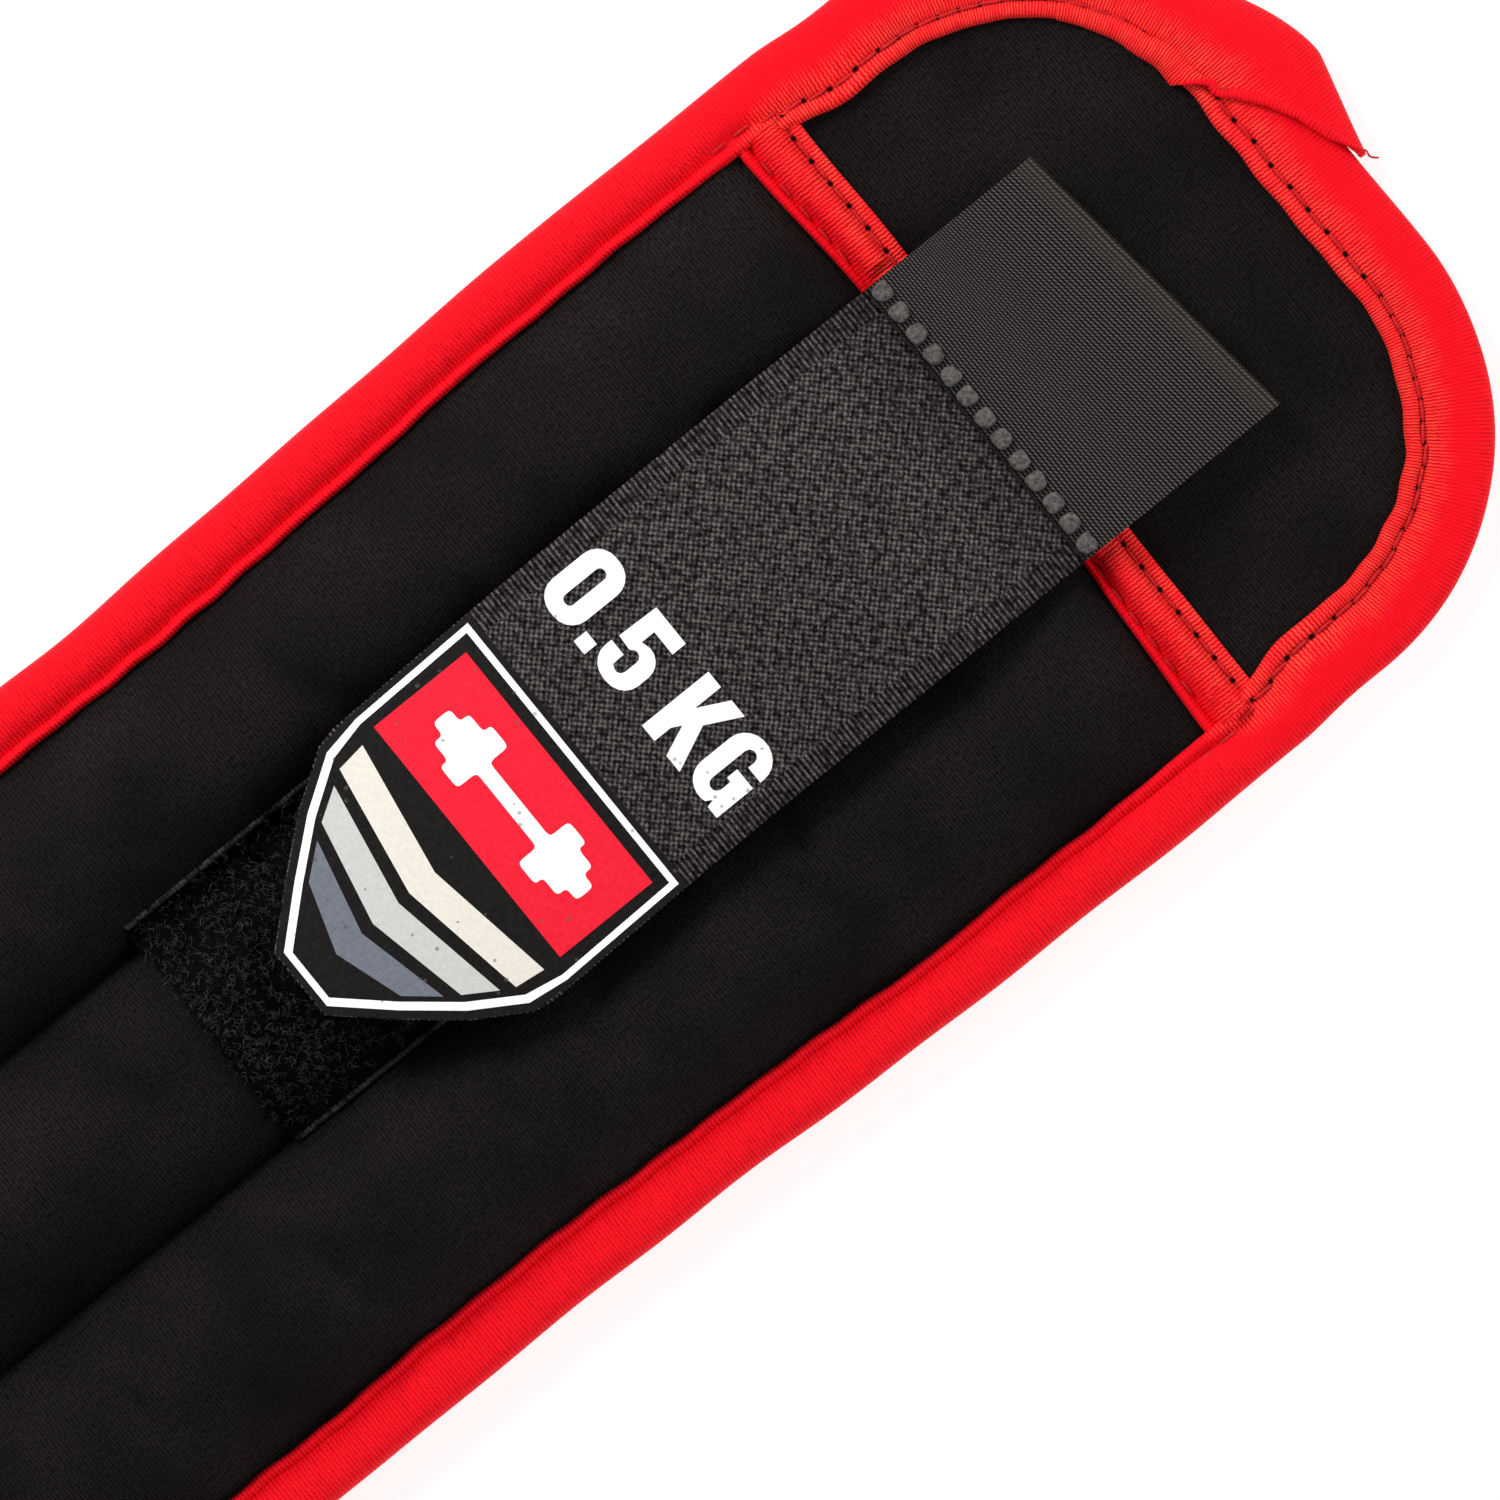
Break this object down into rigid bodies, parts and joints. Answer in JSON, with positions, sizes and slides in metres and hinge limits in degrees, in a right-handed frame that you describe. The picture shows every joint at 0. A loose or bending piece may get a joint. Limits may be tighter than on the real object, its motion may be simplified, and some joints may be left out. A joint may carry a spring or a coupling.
{
  "type": "ankle cuff weight",
  "caption": "Flexible weighted cuff for ankle or wrist: neoprene pocket with filled channels, bound edges, soft end flaps, hook-and-loop closing strap and a wire ring to thread it through.",
  "frame": {"origin": "middle of the cuff's length and width, on the lining face it lies on", "axes": "+X along the cuff towards the end where the strap is anchored, +Y across it, +Z out of the printed face"},
  "size_m": [0.337, 0.096, 0.0193],
  "materials": {
    "neoprene": "matt knitted jersey over black neoprene",
    "red_binding": "ribbed woven edge tape, red",
    "strap_webbing": "dark grey basket-weave webbing",
    "loop_pile": "fuzzy black loop pile",
    "hook_tape": "black hook tape",
    "weld_dots": "melted webbing, grey, satin",
    "white_print": "white screen print",
    "emblem_print": null,
    "ring_wire": "nickel-plated steel wire",
    "bag_film": "plain bag film",
    "iron_sand": "loose fine shot"
  },
  "bodies": {
    "seg_1": {"base_panel_1": "neoprene", "pocket_panel_1": "neoprene", "sand_bags_1": "bag_film", "iron_sand_1": "iron_sand", "edge_binding_1": "red_binding", "pocket_end_binding": "red_binding", "anchor_tape": "strap_webbing", "loop_patch_1": "loop_pile"},
    "seg_2": {"base_panel_2": "neoprene", "pocket_panel_2": "neoprene", "sand_bags_2": "bag_film", "iron_sand_2": "iron_sand", "edge_binding_2": "red_binding", "loop_patch_2": "loop_pile"},
    "seg_3": {"base_panel_3": "neoprene", "pocket_panel_3": "neoprene", "sand_bags_3": "bag_film", "iron_sand_3": "iron_sand", "edge_binding_3": "red_binding", "loop_patch_3": "loop_pile"},
    "seg_4": {"base_panel_4": "neoprene", "pocket_panel_4": "neoprene", "sand_bags_4": "bag_film", "iron_sand_4": "iron_sand", "edge_binding_4": "red_binding"},
    "seg_5": {"base_panel_5": "neoprene", "pocket_panel_5": "neoprene", "sand_bags_5": "bag_film", "iron_sand_5": "iron_sand", "edge_binding_5": "red_binding"},
    "seg_6": {"base_panel_6": "neoprene", "pocket_panel_6": "neoprene", "sand_bags_6": "bag_film", "iron_sand_6": "iron_sand", "edge_binding_6": "red_binding", "far_end_binding": "red_binding"},
    "near_flap": {"flap_panel": "neoprene", "flap_binding": "red_binding"},
    "far_flap": {"far_flap_panel": "neoprene", "far_flap_binding": "red_binding", "ring_keeper": "strap_webbing"},
    "ring": {"ring": "ring_wire"},
    "strap_1": {"tab_tape": "strap_webbing", "strap_tape_1": "strap_webbing", "weld_dots": "weld_dots"},
    "strap_2": {"strap_tape_2": "strap_webbing", "hook_pad_1": "hook_tape", "weight_marking": "white_print", "emblem_print_1": "emblem_print"},
    "strap_3": {"strap_end": "strap_webbing", "hook_pad_2": "hook_tape", "emblem_print_2": "emblem_print"}
  },
  "joints": [
    {"name": "wrap_1", "type": "hinge", "parent": "seg_1", "child": "seg_2", "pos_m": [0.082, 0, 0], "axis": [0, -1, 0], "range_deg": [0, 40]},
    {"name": "wrap_2", "type": "hinge", "parent": "seg_2", "child": "seg_3", "pos_m": [0.044, 0, 0], "axis": [0, -1, 0], "range_deg": [0, 40]},
    {"name": "wrap_3", "type": "hinge", "parent": "seg_3", "child": "seg_4", "pos_m": [0.006, 0, 0], "axis": [0, -1, 0], "range_deg": [0, 40]},
    {"name": "wrap_4", "type": "hinge", "parent": "seg_4", "child": "seg_5", "pos_m": [-0.032, 0, 0], "axis": [0, -1, 0], "range_deg": [0, 40]},
    {"name": "wrap_5", "type": "hinge", "parent": "seg_5", "child": "seg_6", "pos_m": [-0.07, 0, 0], "axis": [0, -1, 0], "range_deg": [0, 40]},
    {"name": "near_flap_bend", "type": "hinge", "parent": "seg_1", "child": "near_flap", "pos_m": [0.1235, 0, 0], "axis": [0, 1, 0], "range_deg": [0, 40]},
    {"name": "far_flap_bend", "type": "hinge", "parent": "seg_6", "child": "far_flap", "pos_m": [-0.1115, 0, 0], "axis": [0, -1, 0], "range_deg": [0, 40]},
    {"name": "ring_swivel", "type": "hinge", "parent": "far_flap", "child": "ring", "pos_m": [-0.1525, 0, 0.00635], "axis": [0, 1, 0], "range_deg": [-60, 100]},
    {"name": "strap_fold", "type": "hinge", "parent": "seg_1", "child": "strap_1", "pos_m": [0.143, 0, 0.0074], "axis": [0, 1, 0], "range_deg": [0, 160]},
    {"name": "strap_bend_1", "type": "hinge", "parent": "strap_1", "child": "strap_2", "pos_m": [0.082, 0, 0], "axis": [0, -1, 0], "range_deg": [0, 40]},
    {"name": "strap_bend_2", "type": "hinge", "parent": "strap_2", "child": "strap_3", "pos_m": [0.044, 0, 0], "axis": [0, -1, 0], "range_deg": [0, 40]}
  ],
  "couplings": [
    {"joint": "wrap_2", "follows": "wrap_1", "ratio": 1},
    {"joint": "wrap_3", "follows": "wrap_1", "ratio": 1},
    {"joint": "wrap_4", "follows": "wrap_1", "ratio": 1},
    {"joint": "wrap_5", "follows": "wrap_1", "ratio": 1},
    {"joint": "strap_bend_1", "follows": "wrap_1", "ratio": 1},
    {"joint": "strap_bend_2", "follows": "wrap_1", "ratio": 1}
  ]
}
